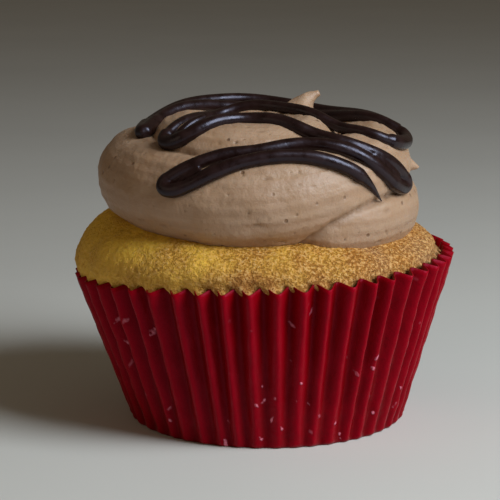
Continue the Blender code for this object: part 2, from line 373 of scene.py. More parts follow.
def tube(name, points, resolution):
    """A mesh tube along (x, y, z, radius) points, drawn as a curve and converted."""
    data = bpy.data.curves.new(name, "CURVE")
    data.dimensions = "3D"
    data.bevel_depth = 1.0
    data.bevel_resolution = resolution
    data.use_fill_caps = True
    spline = data.splines.new("POLY")
    spline.points.add(len(points) - 1)
    for point, (x, y, z, radius) in zip(spline.points, points):
        point.co = (x, y, z, 1.0)
        point.radius = radius
    obj = bpy.data.objects.new(name, data)
    bpy.context.scene.collection.objects.link(obj)
    activate(obj)
    bpy.ops.object.convert(target="MESH")
    obj = bpy.context.view_layer.objects.active
    obj.name = name
    bpy.ops.object.mode_set(mode="EDIT")
    bpy.ops.mesh.select_all(action="SELECT")
    bpy.ops.mesh.remove_doubles(threshold=0.01 * MM)
    bpy.ops.mesh.normals_make_consistent(inside=False)
    bpy.ops.object.mode_set(mode="OBJECT")
    return obj


def join(obj, others):
    """Makes others part of obj."""
    activate(obj)
    for other in others:
        other.select_set(True)
    bpy.ops.object.join()


def finish_piece(obj, node, material, smooth_angle=None):
    """Gives a finished piece its material and its place in the frame."""
    obj.data.materials.clear()
    obj.data.materials.append(material)
    activate(obj)
    if smooth_angle is None:
        bpy.ops.object.shade_smooth()
    else:
        bpy.ops.object.shade_smooth_by_angle(angle=smooth_angle)
    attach(obj, BODY)
    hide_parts(node)
    deselect_all()


def new_material(name):
    material = bpy.data.materials.new(name)
    material.use_nodes = True
    return material, material.node_tree, material.node_tree.nodes["Principled BSDF"]


def add_node(tree, kind, inputs=None, **values):
    node = tree.nodes.new(kind)
    for key, value in values.items():
        setattr(node, key, value)
    for key, value in (inputs or {}).items():
        if isinstance(value, bpy.types.NodeSocket):
            tree.links.new(value, node.inputs[key])
        else:
            node.inputs[key].default_value = value
    return node


def mix_colour(tree, factor, first, second):
    node = tree.nodes.new("ShaderNodeMix")
    node.data_type = "RGBA"
    for socket, value in ((node.inputs[0], factor), (node.inputs[6], first), (node.inputs[7], second)):
        if isinstance(value, bpy.types.NodeSocket):
            tree.links.new(value, socket)
        elif isinstance(value, (int, float)):
            socket.default_value = value
        else:
            socket.default_value = (*value[:3], 1.0)
    return node.outputs[2]


def ramp(tree, value, low, high):
    """value spread so that low gives 0 and high gives 1."""
    inputs = {"Value": value, "From Min": low, "From Max": high}
    return add_node(tree, "ShaderNodeMapRange", inputs).outputs["Result"]


def maths(tree, operation, first, second):
    return add_node(tree, "ShaderNodeMath", {0: first, 1: second}, operation=operation).outputs[0]


# ---------------------------------------------------------------- paper case


def pleat_angle(settings, angle):
    """The even angle that a real angle round the case stands for."""
    even = angle
    for _ in range(5):
        even = angle + settings.crowding * math.sin(even)
    return even


def pleat_fold(settings, angle):
    """How far a point round the case is folded in: 0 on a ridge, 1 in a groove."""
    even = pleat_angle(settings, angle)
    wander = 0.9 * noise.noise(Vector((math.cos(even) * 3.1, math.sin(even) * 3.1, 4.0)))
    wander += 0.5 * noise.noise(Vector((math.cos(even) * 9.0, math.sin(even) * 9.0, 8.0)))
    wave = 0.5 - 0.5 * math.cos(settings.pleats * even + wander)
    return wave


def rim_height(settings, angle, fold):
    """The height of the paper's edge, which a wall of constant slant gives."""
    rim = settings.rim_radius - settings.depth_rim * fold
    base = settings.base_radius - settings.depth_base * fold
    rise = math.sqrt(settings.wall_slant**2 - (rim - base) ** 2) + 0.4 * MM * fold
    lean = settings.rim_slope * settings.rim_radius * math.cos(angle)
    dip = settings.rim_dip * (0.5 - 0.5 * math.cos(angle)) ** 6
    return rise + lean - dip


def wall_point(settings, angle, share):
    """A point on the outside of the pleated wall: share is 0 at the base's edge, 1 at the rim."""
    fold = pleat_fold(settings, angle)
    spot = Vector((math.cos(angle) * 2.2, math.sin(angle) * 2.2, share * 1.3))
    depth = 1.0 + 0.25 * noise.noise(spot)
    rim = settings.rim_radius - settings.depth_rim * depth * fold
    base = settings.base_radius - settings.depth_base * depth * fold
    radius = base + (rim - base) * share
    top = rim_height(settings, angle, fold)
    height = settings.corner + (top - settings.corner) * share
    creased = Vector((math.cos(angle) * 14.0, math.sin(angle) * 14.0, share * 7.0))
    radius += 0.2 * MM * noise.fractal(creased, 0.8, 2.0, 4)
    x = radius * math.cos(angle) + settings.rim_shift * share
    return Vector((x, radius * math.sin(angle), height))


def build_case(settings):
    """A disc whose edge is extruded up in rings, pressed into pleats and given its thickness."""
    deselect_all()
    count = settings.pleats * settings.points_per_pleat
    disc_rows = 6
    corner_rows = 5
    wall_rows = 30
    bpy.ops.mesh.primitive_circle_add(
        vertices=count, radius=settings.flat_radius / disc_rows, fill_type="NGON", location=(0, 0, 0)
    )
    case = bpy.context.object
    case.name = "pleated_case"
    bpy.ops.object.mode_set(mode="EDIT")
    bpy.ops.mesh.select_all(action="SELECT")
    bpy.ops.mesh.region_to_loop()
    radius = settings.flat_radius / disc_rows
    rows = [(settings.flat_radius * (i + 1) / disc_rows, 0.0) for i in range(1, disc_rows)]
    rows += [(settings.flat_radius, (i + 1) * MM) for i in range(corner_rows + wall_rows)]
    height = 0.0
    for next_radius, next_height in rows:
        bpy.ops.mesh.extrude_edges_move(
            TRANSFORM_OT_translate={"value": (0.0, 0.0, next_height - height)}
        )
        scale = next_radius / radius
        bpy.ops.transform.resize(value=(scale, scale, 1.0), center_override=(0.0, 0.0, 0.0))
        radius, height = next_radius, next_height
    bpy.ops.object.mode_set(mode="OBJECT")
    shape_case(case, settings, corner_rows, wall_rows)
    apply_modifier(case, "SOLIDIFY", thickness=settings.paper, offset=-1.0, use_even_offset=False)
    return case


def shape_case(case, settings, corner_rows, wall_rows):
    """Moves the extruded rings to their places on the pleated wall and unwraps them."""
    mesh = case.data
    wrap = {}
    for vertex in mesh.vertices:
        x, y, z = vertex.co
        angle = math.atan2(y, x)
        row = round(z / MM)
        if row == 0:
            flatness = math.hypot(x, y) / settings.flat_radius
            share = -0.2 * (1.0 - flatness)
        elif row <= corner_rows:
            start = Vector((math.cos(angle), math.sin(angle), 0.0)) * settings.flat_radius
            end = wall_point(settings, angle, 0.0)
            swing = 0.5 * math.pi * row / corner_rows
            flat = Vector((end.x, end.y, 0.0))
            across = start.lerp(flat, math.sin(swing))
            vertex.co = (across.x, across.y, end.z * (1.0 - math.cos(swing)))
            share = 0.0
        else:
            share = (row - corner_rows) / wall_rows
            vertex.co = wall_point(settings, angle, share)
        wrap[vertex.index] = (angle / math.tau, share)
    folds = mesh.attributes.new("fold", "FLOAT", "POINT")
    for vertex in mesh.vertices:
        folds.data[vertex.index].value = pleat_fold(settings, math.tau * wrap[vertex.index][0])
    layer = mesh.uv_layers.new(name="wrap")
    for face in mesh.polygons:
        first = wrap[face.vertices[0]][0]
        for loop_index, vertex_index in zip(face.loop_indices, face.vertices):
            u, v = wrap[vertex_index]
            if u - first > 0.5:
                u -= 1.0
            elif first - u > 0.5:
                u += 1.0
            layer.data[loop_index].uv = (u, v)
    bm = bmesh.new()
    bm.from_mesh(mesh)
    bmesh.ops.recalc_face_normals(bm, faces=bm.faces)
    if sum(face.normal.z * face.calc_area() for face in bm.faces) > 0.0:
        bmesh.ops.reverse_faces(bm, faces=bm.faces)
    bm.to_mesh(mesh)
    bm.free()


def paper_material(settings):
    """Dyed greaseproof paper: deep red, satin, with painted shade in the grooves of its pleats and painted pale
    glints where it was creased.
    """
    material, tree, shader = new_material("red_greaseproof_paper")
    place = add_node(tree, "ShaderNodeTexCoord").outputs["Object"]
    wrap = add_node(tree, "ShaderNodeUVMap", uv_map="wrap").outputs["UV"]
    fold = add_node(tree, "ShaderNodeAttribute", attribute_name="fold").outputs["Fac"]
    mottle = add_node(
        tree, "ShaderNodeTexNoise", {"Vector": place, "Scale": 260.0, "Detail": 5.0, "Roughness": 0.6}
    ).outputs["Fac"]
    # Painted shade: darker towards the grooves, by the fold, mixed with random mottle of the dye.
    deep = maths(tree, "ADD", maths(tree, "MULTIPLY", fold, 0.75), maths(tree, "MULTIPLY", mottle, 0.5))
    body = mix_colour(tree, ramp(tree, deep, 0.2, 1.0), settings.colour, settings.shade)
    ragged = add_node(tree, "ShaderNodeTexNoise", {"Vector": place, "Scale": 900.0, "Detail": 2.0})
    # Painted highlights: pale glints on the creases in ragged spots, fading out towards the rim.
    crease_glint = None
    for turn, size, chance, shift in ((0.6, (66.0, 6.5), 0.72, 0.0), (-0.7, (58.0, 5.5), 0.80, 3.7)):
        spots = add_node(
            tree, "ShaderNodeMapping",
            {"Vector": wrap, "Location": (shift, shift, 0.0), "Scale": (*size, 1.0)},
        ).outputs["Vector"]
        spots = add_node(
            tree, "ShaderNodeMapping", {"Vector": spots, "Rotation": (0.0, 0.0, turn)}
        ).outputs["Vector"]
        spots = add_node(
            tree, "ShaderNodeMapping", {"Vector": spots, "Scale": (1.0, 2.0, 1.0)}
        ).outputs["Vector"]
        cells = add_node(tree, "ShaderNodeTexVoronoi", {"Vector": spots, "Scale": 1.0})
        reach = maths(
            tree, "ADD", cells.outputs["Distance"],
            maths(tree, "MULTIPLY", maths(tree, "SUBTRACT", ragged.outputs["Fac"], 0.5), 0.55),
        )
        near = ramp(tree, reach, 0.17, 0.07)
        picked = add_node(tree, "ShaderNodeSeparateColor", {"Color": cells.outputs["Color"]})
        kept = maths(tree, "GREATER_THAN", picked.outputs["Red"], chance)
        mark = maths(tree, "MULTIPLY", near, kept)
        mark = maths(tree, "MULTIPLY", mark, maths(tree, "ADD", 0.35, picked.outputs["Blue"]))
        crease_glint = mark if crease_glint is None else maths(tree, "MAXIMUM", crease_glint, mark)
    height = add_node(tree, "ShaderNodeSeparateXYZ", {"Vector": wrap}).outputs["Y"]
    crease_glint = maths(tree, "MULTIPLY", crease_glint, ramp(tree, height, 0.96, 0.66))
    crease_glint = maths(tree, "MULTIPLY", crease_glint, 0.62)
    colour = mix_colour(tree, crease_glint, body, settings.crease_glint)
    tree.links.new(colour, shader.inputs["Base Color"])
    rough = add_node(
        tree, "ShaderNodeMapRange",
        {"Value": mottle, "From Min": 0.3, "From Max": 0.7, "To Min": 0.30, "To Max": 0.48},
    )
    tree.links.new(rough.outputs["Result"], shader.inputs["Roughness"])
    crinkle = add_node(
        tree, "ShaderNodeTexNoise", {"Vector": place, "Scale": 800.0, "Detail": 5.0, "Roughness": 0.62}
    ).outputs["Fac"]
    relief = maths(tree, "ADD", crinkle, maths(tree, "MULTIPLY", crease_glint, 1.2))
    bump = add_node(tree, "ShaderNodeBump", {"Strength": 0.8, "Distance": 0.2 * MM, "Height": relief})
    tree.links.new(bump.outputs["Normal"], shader.inputs["Normal"])
    shader.inputs["Specular IOR Level"].default_value = 0.18
    shader.inputs["Specular Tint"].default_value = (1.0, 0.16, 0.36, 1.0)
    return material


# -------------------------------------------------------------------- sponge


def lip_height(case, angle):
    return min(rim_height(case, angle, 0.6) - 0.3 * MM, 30.2 * MM)


def dome_point(case, settings, angle, swing, grow=0.0):
    """A point on the dome: swing is 0 at its widest and a quarter turn at its top."""
    radius = (settings.lip_radius + grow) * math.cos(swing) ** settings.fullness
    x = radius * math.cos(angle)
    y = radius * math.sin(angle)
    side = lip_height(case, angle) + 1.8 * MM
    top = settings.dome_top + grow + settings.slope_x * x + settings.slope_y * y
    return Vector((x + settings.lip_shift, y, side + (top - side) * math.sin(swing)))


def build_sponge(case, settings):
    """A disc extruded up in rings: inside the case, over its rim and up the dome."""
    deselect_all()
    foot_rows = 8
    lip_rows = 10
    dome_rows = 74
    radius = 24.0 * MM
    bpy.ops.mesh.primitive_circle_add(
        vertices=settings.segments, radius=radius, fill_type="NGON", location=(0, 0, 0)
    )
    sponge = bpy.context.object
    sponge.name = "golden_sponge"
    bpy.ops.object.mode_set(mode="EDIT")
    bpy.ops.mesh.select_all(action="SELECT")
    bpy.ops.mesh.region_to_loop()
    for _ in range(foot_rows + lip_rows + dome_rows):
        bpy.ops.mesh.extrude_edges_move(TRANSFORM_OT_translate={"value": (0.0, 0.0, MM)})
    bpy.ops.mesh.edge_face_add()
    bpy.ops.object.mode_set(mode="OBJECT")
    shape_sponge(sponge, case, settings, foot_rows, lip_rows, dome_rows)
    apply_modifier(sponge, "TRIANGULATE", min_vertices=5)
    return sponge


def inside_case(case, angle, share):
    """A point just inside the pleated wall."""
    outside = wall_point(case, angle, share)
    inward = Vector((math.cos(angle), math.sin(angle), 0.0)) * 0.38 * MM
    return outside - inward


def shape_sponge(sponge, case, settings, foot_rows, lip_rows, dome_rows):
    """Moves the extruded rings to their places on the sponge."""
    mesh = sponge.data
    hidden_swing = 1.12
    for vertex in mesh.vertices:
        x, y, z = vertex.co
        angle = math.atan2(y, x)
        row = round(z / MM)
        if row <= foot_rows:
            share = row / foot_rows * 0.93
            spot = inside_case(case, angle, share)
            spot.z = max(spot.z, 0.8 * MM)
        elif row <= foot_rows + lip_rows:
            t = (row - foot_rows) / lip_rows
            low = inside_case(case, angle, 0.93)
            high = dome_point(case, settings, angle, 0.0)
            eased = t * t * (3.0 - 2.0 * t)
            spot = low.lerp(high, eased)
            spot.z = low.z + (high.z - low.z) * t
        else:
            t = (row - foot_rows - lip_rows) / dome_rows
            swing = hidden_swing * t
            spot = dome_point(case, settings, angle, swing)
        vertex.co = spot
    bm = bmesh.new()
    bm.from_mesh(mesh)
    bmesh.ops.recalc_face_normals(bm, faces=bm.faces)
    bm.to_mesh(mesh)
    bm.free()
    roughen_sponge(mesh, case, settings)


def roughen_sponge(mesh, case, settings):
    """Lumps, crumb and open pores, as vertex moves along the normals, above the case's rim."""
    points = get_points(mesh)
    normals = get_normals(mesh)
    moved = points.copy()
    for i, (x, y, z) in enumerate(points):
        edge = rim_height(case, math.atan2(y, x), 0.5)
        free = min(max((z - edge) / (1.5 * MM), 0.0), 1.0)
        if free == 0.0:
            continue
        spot = Vector((x, y, z)) / MM
        lump = 0.32 * noise.noise(spot * 0.16) + 0.16 * noise.noise(spot * 0.45 + Vector((7, 0, 0)))
        crumb = noise.fractal(spot * 1.5, 0.6, 2.1, 3) * settings.crumb / MM
        pore = -0.22 * dimple(spot * 0.9, 0.45, 0.4)
        moved[i] += normals[i] * (lump + crumb + pore) * free * MM
    set_points(mesh, moved)


def sponge_material(settings):
    """Golden crumb: yellower on the left, browned and speckled at the front and right, with painted shade in its
    pores.
    """
    material, tree, shader = new_material("golden_sponge_crumb")
    place = add_node(tree, "ShaderNodeTexCoord").outputs["Object"]
    axes = add_node(tree, "ShaderNodeSeparateXYZ", {"Vector": place})
    patches = add_node(
        tree, "ShaderNodeTexNoise", {"Vector": place, "Scale": 120.0, "Detail": 4.0, "Roughness": 0.6}
    ).outputs["Fac"]
    side = maths(tree, "MULTIPLY", axes.outputs["X"], 13.0)
    baked = maths(tree, "ADD", patches, side)
    body = mix_colour(tree, ramp(tree, baked, 0.10, 0.62), settings.yellow, settings.golden)
    body = mix_colour(tree, ramp(tree, baked, 0.70, 1.05), body, settings.tan)
    low = ramp(tree, axes.outputs["Z"], 37.0 * MM, 31.0 * MM)
    body = mix_colour(tree, maths(tree, "MULTIPLY", low, 0.35), body, settings.tan)
    grain = add_node(
        tree, "ShaderNodeTexNoise", {"Vector": place, "Scale": 1700.0, "Detail": 3.0, "Roughness": 0.7}
    ).outputs["Fac"]
    bright = maths(tree, "MULTIPLY", ramp(tree, grain, 0.50, 0.66), 0.75)
    rough_side = ramp(tree, baked, 0.05, 0.5)
    bright = maths(tree, "MULTIPLY", bright, maths(tree, "ADD", 0.35, maths(tree, "MULTIPLY", rough_side, 0.65)))
    body = mix_colour(tree, bright, body, settings.pale)
    # Darker in the grain's low spots and in the pores, more so on the right: partly browned specks, partly
    # painted shade in the pores, which the bump also sinks.
    pores = add_node(tree, "ShaderNodeTexVoronoi", {"Vector": place, "Scale": 1900.0}).outputs["Distance"]
    dips = maths(tree, "MULTIPLY", ramp(tree, grain, 0.50, 0.36), rough_side)
    dips = maths(tree, "MAXIMUM", dips, maths(tree, "MULTIPLY", ramp(tree, pores, 0.30, 0.12), rough_side))
    body = mix_colour(tree, maths(tree, "MULTIPLY", dips, 0.5), body, settings.brown)
    tree.links.new(body, shader.inputs["Base Color"])
    relief = maths(tree, "SUBTRACT", grain, maths(tree, "MULTIPLY", dips, 0.5))
    bump = add_node(tree, "ShaderNodeBump", {"Strength": 0.9, "Distance": 0.35 * MM, "Height": relief})
    tree.links.new(bump.outputs["Normal"], shader.inputs["Normal"])
    shader.inputs["Roughness"].default_value = 0.8
    shader.inputs["Specular IOR Level"].default_value = 0.2
    shader.inputs["Subsurface Weight"].default_value = 0.12
    shader.inputs["Subsurface Radius"].default_value = (1.0, 0.45, 0.15)
    shader.inputs["Subsurface Scale"].default_value = 0.5 * MM
    return material


# --------------------------------------------------------------------- icing


def rope_points():
    """The icing rope's middle line with its radius: (x, y, z, radius) in metres."""
    points = []
    for turn, distance, height, radius in smooth_through(SWIRL_STATIONS, 12):
        angle = math.radians(turn)
        offset = Vector((distance * math.cos(angle), distance * math.sin(angle), height)) * MM
        points.append((*(SWIRL_AXIS + offset), radius * MM))
    peak = [tuple(value * MM for value in station) for station in PEAK_STATIONS]
    return points + smooth_through([points[-1], *peak], 8)[1:]


def build_icing(case, sponge, settings):
    """The rope and the icing in its middle, fused, cut off at the sponge and given its texture."""
    points = rope_points()
    icing = tube("buttercream_swirl", points, 10)
    deselect_all()
    bpy.ops.mesh.primitive_uv_sphere_add(segments=48, ring_count=24, radius=1.0, location=CORE_CENTRE)
    core = bpy.context.object
    bpy.ops.transform.resize(value=CORE_RADII, center_override=CORE_CENTRE)
    bpy.ops.object.transform_apply(location=True, rotation=True, scale=True)
    spike = tube("spike", [tuple(value * MM for value in station) for station in SPIKE_STATIONS], 6)
    join(icing, [core, spike])
    apply_modifier(icing, "REMESH", mode="VOXEL", voxel_size=settings.voxel)
    cutter = dome_cutter(case, sponge)
    activate(icing)
    apply_modifier(icing, "BOOLEAN", operation="DIFFERENCE", solver="MANIFOLD", object=cutter)
    bpy.data.objects.remove(cutter)
    apply_modifier(icing, "SMOOTH", factor=0.5, iterations=2)
    texture_icing(icing.data, points, settings)
    return icing


def dome_cutter(case, sponge):
    """The inside of the sponge's dome, which the hidden part of the icing is cut off with."""
    angles = [math.tau * i / 72 for i in range(72)]
    swings = [1.5 * i / 12 for i in range(13)]
    mesh = bmesh.new()
    rows = []
    for swing in [0.0, *swings]:
        rows.append([mesh.verts.new(dome_point(case, sponge, a, swing, -1.0 * MM)) for a in angles])
    for vertex in rows[0]:
        vertex.co.z -= 12.0 * MM
    for lower, upper in zip(rows, rows[1:]):
        for i in range(len(angles)):
            j = (i + 1) % len(angles)
            mesh.faces.new((lower[i], lower[j], upper[j], upper[i]))
    mesh.faces.new(reversed(rows[0]))
    mesh.faces.new(rows[-1])
    bmesh.ops.recalc_face_normals(mesh, faces=mesh.faces)
    data = bpy.data.meshes.new("dome_cutter")
    mesh.to_mesh(data)
    mesh.free()
    cutter = bpy.data.objects.new("dome_cutter", data)
    bpy.context.scene.collection.objects.link(cutter)
    return cutter


def rope_flow(points, surface):
    """Where each surface point is on the rope, in mm: how far along it and how far round it, and
    how near it is to a crease between two turns: 1 in the crease."""
    centres = np.array([point[:3] for point in points]) / MM
    radii = np.array([point[3] for point in points]) / MM
    steps = np.linalg.norm(np.diff(centres, axis=0), axis=1)
    runs = np.concatenate(([0.0], np.cumsum(steps)))
    along = np.gradient(centres, axis=0)
    along /= np.linalg.norm(along, axis=1, keepdims=True)
    side = np.cross(along, (0.0, 0.0, 1.0))
    side /= np.linalg.norm(side, axis=1, keepdims=True)
    up = np.cross(side, along)
    flow = np.empty((len(surface), 3))
    for start in range(0, len(surface), 4000):
        block = surface[start:start + 4000] / MM
        gaps = np.linalg.norm(block[:, None, :] - centres[None, :, :], axis=2) - radii
        best = np.argmin(gaps, axis=1)
        own = gaps[np.arange(len(block)), best]
        other_turn = np.abs(runs[None, :] - runs[best][:, None]) > 30.0
        second = np.where(other_turn, gaps, 99.0).min(axis=1)
        off = block - centres[best]
        turn = np.arctan2((off * up[best]).sum(axis=1), (off * side[best]).sum(axis=1))
        flow[start:start + 4000, 0] = runs[best] + (off * along[best]).sum(axis=1)
        flow[start:start + 4000, 1] = turn * radii[best]
        flow[start:start + 4000, 2] = np.clip(1.0 - (second - own) / CREASE_WIDTH, 0.0, 1.0)
    return flow


def texture_icing(mesh, points, settings):
    """Streaks along the rope, bubbles, craters and creases, as vertex moves along the normals."""
    surface = get_points(mesh)
    normals = get_normals(mesh)
    flow = rope_flow(points, surface)
    moved = surface.copy()
    shade = np.zeros((len(surface), 3))
    for i, (run, across, crease) in enumerate(flow):
        spot = Vector(surface[i]) / MM
        streak = noise.noise(Vector((run * 0.03, across * 0.30, 3.0)))
        streak += 0.4 * noise.noise(Vector((run * 0.06, across * 0.8, 9.0)))
        soft = 0.26 * noise.noise(spot * 0.20) + 0.07 * noise.noise(spot * 0.9)
        crater = dimple(Vector((run * 0.20, across * 0.42, 1.0)), 0.26, 0.45)
        bubble = dimple(spot * 0.62, 0.20, 0.42)
        torn = crease * crease * min(max((CREASE_TOP - spot.z) / 2.0, 0.0), 1.0)
        if crease > 0.3:
            torn *= 0.7 + 0.6 * noise.noise(spot * 0.55)
        shift = streak * settings.streak + soft * MM - torn * settings.crease
        shift -= crater * 0.4 * settings.pit + bubble * settings.pit
        moved[i] += normals[i] * shift
        # The hollow attribute carries the masks for painted shade in the bubbles, craters and creases, and the
        # streaks.
        shade[i] = (max(crater * 0.45, bubble), torn, streak)
    set_points(mesh, moved)
    add_attribute(mesh, "flow", flow)
    add_attribute(mesh, "hollow", shade)


def dimple(spot, size, share):
    """A hollow with a rounded rim in some of the cells of a random pattern: 1 at its middle."""
    distances, places = noise.voronoi(spot)
    pick = noise.cell(places[0] * 5.7)
    if pick > share:
        return 0.0
    reach = size * (0.5 + 0.5 * abs(noise.cell(places[0] * 3.3)))
    t = max(0.0, 1.0 - distances[0] / reach)
    return t * t * (3.0 - 2.0 * t)


def icing_material(settings):
    """Mocha buttercream: satin, streaked along the rope, with painted shade darkening its bubbles, pricks and
    creases.
    """
    material, tree, shader = new_material("mocha_buttercream")
    place = add_node(tree, "ShaderNodeTexCoord").outputs["Object"]
    flow = add_node(tree, "ShaderNodeAttribute", attribute_name="flow").outputs["Vector"]
    hollow = add_node(tree, "ShaderNodeAttribute", attribute_name="hollow").outputs["Vector"]
    hollow = add_node(tree, "ShaderNodeSeparateXYZ", {"Vector": hollow})
    drawn = add_node(
        tree, "ShaderNodeMapping", {"Vector": flow, "Scale": (0.045, 0.42, 0.0)}
    ).outputs["Vector"]
    streaks = add_node(
        tree, "ShaderNodeTexNoise", {"Vector": drawn, "Scale": 1.0, "Detail": 5.0, "Roughness": 0.6}
    ).outputs["Fac"]
    cloud = add_node(tree, "ShaderNodeTexNoise", {"Vector": place, "Scale": 190.0, "Detail": 3.0})
    body = mix_colour(tree, ramp(tree, streaks, 0.40, 0.72), settings.colour, settings.pale)
    tan = maths(tree, "MULTIPLY", ramp(tree, cloud.outputs["Fac"], 0.50, 0.72), 0.4)
    body = mix_colour(tree, tan, body, settings.tan)
    pricks = add_node(
        tree, "ShaderNodeTexVoronoi", {"Vector": place, "Scale": 520.0, "Randomness": 1.0}
    )
    picked = add_node(tree, "ShaderNodeSeparateColor", {"Color": pricks.outputs["Color"]})
    # Painted shade: a few small pricks, also sunk by the bump, and the bubbles, craters and creases are darkened
    # towards the deep colour.
    prick = maths(
        tree, "MULTIPLY", ramp(tree, pricks.outputs["Distance"], 0.24, 0.12),
        maths(tree, "GREATER_THAN", picked.outputs["Green"], 0.86),
    )
    dark = maths(tree, "MAXIMUM", maths(tree, "MULTIPLY", prick, 0.8), hollow.outputs["X"])
    dark = maths(tree, "MAXIMUM", dark, maths(tree, "MULTIPLY", hollow.outputs["Y"], 0.8))
    body = mix_colour(tree, dark, body, settings.deep)
    tree.links.new(body, shader.inputs["Base Color"])
    grain = add_node(
        tree, "ShaderNodeTexNoise", {"Vector": place, "Scale": 1500.0, "Detail": 4.0, "Roughness": 0.65}
    )
    relief = maths(tree, "ADD", streaks, maths(tree, "MULTIPLY", grain.outputs["Fac"], 1.2))
    relief = maths(tree, "SUBTRACT", relief, maths(tree, "MULTIPLY", prick, 1.5))
    bump = add_node(tree, "ShaderNodeBump", {"Strength": 0.55, "Distance": 0.2 * MM, "Height": relief})
    tree.links.new(bump.outputs["Normal"], shader.inputs["Normal"])
    shader.inputs["Roughness"].default_value = 0.46
    shader.inputs["Specular IOR Level"].default_value = 0.42
    shader.inputs["Subsurface Weight"].default_value = 0.2
    shader.inputs["Subsurface Radius"].default_value = (1.0, 0.55, 0.3)
    shader.inputs["Subsurface Scale"].default_value = 0.8 * MM
    return material


# ----------------------------------------------------------------- chocolate


def sheet_point(across, up, height=0.0):
    """A point of the zigzag's leaning sheet, or one that stands off it by height."""
    lean = math.radians(SHEET_LEAN)
    return Vector((
        across,
        up * math.cos(lean) - height * math.sin(lean),
        up * math.sin(lean) + height * math.cos(lean),
    ))


def strand_place(strand, share):
    """Where a strand is on the sheet, (across, up) in mm, at a share of its way."""
    start_across, end_across, start_up, end_up, bow, sway = strand
    across = start_across + (end_across - start_across) * share
    up = start_up + (end_up - start_up) * share
    return across, up + bow * math.sin(math.pi * share) + sway * math.sin(math.tau * share)


def turn_place(index, share):
    """Where the turn after strand index is on the sheet, (across, up) in mm: half an ellipse."""
    first = Vector(strand_place(ZIGZAG_STRANDS[index], 1.0))
    last = Vector(strand_place(ZIGZAG_STRANDS[index + 1], 0.0))
    swing = math.pi * share
    out = Vector(ZIGZAG_TURNS[index]) * math.sin(swing)
    return tuple((first + last) / 2.0 + (first - last) / 2.0 * math.cos(swing) + out)


def bead_stations(settings):
    """The zigzag on its sheet: (across, up, radius), thicker in the turns and thin at its tip."""
    stations = []
    for index, strand in enumerate(ZIGZAG_STRANDS):
        radius = settings.radius * STRAND_SHARES[index]
        for step in range(STRAND_STEPS + 1):
            across, up = strand_place(strand, step / STRAND_STEPS)
            stations.append((across * MM, up * MM, radius))
        if index < len(ZIGZAG_TURNS):
            for step in range(1, TURN_STEPS):
                across, up = turn_place(index, step / TURN_STEPS)
                stations.append((across * MM, up * MM, settings.turn_radius))
    for step in range(settings.tip_steps):
        grown = settings.tip_radius + (settings.radius - settings.tip_radius) * step / settings.tip_steps
        stations[step] = (*stations[step][:2], grown)
    return stations


def fill_stations(settings, index):
    """The chocolate between the two strands of a turn: (across, up, radius) on the sheet."""
    stations = []
    for step in range(FILL_STEPS + 1):
        share = FILL_REACH * step / FILL_STEPS
        before = Vector(strand_place(ZIGZAG_STRANDS[index], 1.0 - share))
        after = Vector(strand_place(ZIGZAG_STRANDS[index + 1], share))
        across, up = (before + after) / 2.0
        stations.append((across * MM, up * MM, settings.fill_radius))
    return stations


def bead_points(settings, tree, rows):
    """The middle line through rows of (across, up, radius), laid on the finished icing."""
    down = sheet_point(0.0, 0.0, -1.0)
    middle = []
    for across, up, radius in rows:
        foot, normal, _, _ = tree.ray_cast(sheet_point(across, up, SHEET_ABOVE), down)
        middle.append(foot + normal * radius * settings.seat)
    for _ in range(settings.easing):
        eased = [middle[0]]
        eased += [(a + b * 2.0 + c) / 4.0 for a, b, c in zip(middle, middle[1:], middle[2:])]
        eased.append(middle[-1])
        middle = eased
    points = []
    for index, (spot, row) in enumerate(zip(middle, rows)):
        swell = 1.0 + 0.10 * noise.noise(Vector((index * 0.09, 5.0, 0.0)))
        points.append((*spot, row[2] * swell))
    return points


def build_zigzag(settings, icing):
    """The bead as a tube laid on the icing, fused where its strands touch."""
    mesh = icing.data
    tree = BVHTree.FromPolygons([v.co for v in mesh.vertices], [f.vertices for f in mesh.polygons])
    zigzag = tube("dark_chocolate_zigzag", bead_points(settings, tree, bead_stations(settings)), 5)
    fills = []
    for index in FILLED_TURNS:
        fills.append(tube("fill", bead_points(settings, tree, fill_stations(settings, index)), 5))
    join(zigzag, fills)
    apply_modifier(zigzag, "REMESH", mode="VOXEL", voxel_size=settings.voxel)
    apply_modifier(zigzag, "SMOOTH", factor=0.5, iterations=4)
    return zigzag


def chocolate_material(settings):
    """Dark chocolate, glossy, with a faintly uneven surface."""
    material, tree, shader = new_material("glossy_dark_chocolate")
    place = add_node(tree, "ShaderNodeTexCoord").outputs["Object"]
    uneven = add_node(tree, "ShaderNodeTexNoise", {"Vector": place, "Scale": 520.0, "Detail": 5.0})
    colour = mix_colour(
        tree, ramp(tree, uneven.outputs["Fac"], 0.35, 0.7), settings.colour, (0.018, 0.006, 0.004)
    )
    tree.links.new(colour, shader.inputs["Base Color"])
    rough = add_node(
        tree, "ShaderNodeMapRange",
        {"Value": uneven.outputs["Fac"], "From Min": 0.3, "From Max": 0.7, "To Min": 0.22, "To Max": 0.42},
    )
    tree.links.new(rough.outputs["Result"], shader.inputs["Roughness"])
    bump = add_node(
        tree, "ShaderNodeBump", {"Strength": 0.4, "Distance": 0.2 * MM, "Height": uneven.outputs["Fac"]}
    )
    tree.links.new(bump.outputs["Normal"], shader.inputs["Normal"])
    shader.inputs["Specular IOR Level"].default_value = 0.36
    shader.inputs["Specular Tint"].default_value = (0.78, 0.78, 1.0, 1.0)
    return material


# --------------------------------------------------------------------- stage


def aim_at(obj, target):
    obj.rotation_mode = "QUATERNION"
    obj.rotation_quaternion = (Vector(target) - obj.location).to_track_quat("-Z", "Y")


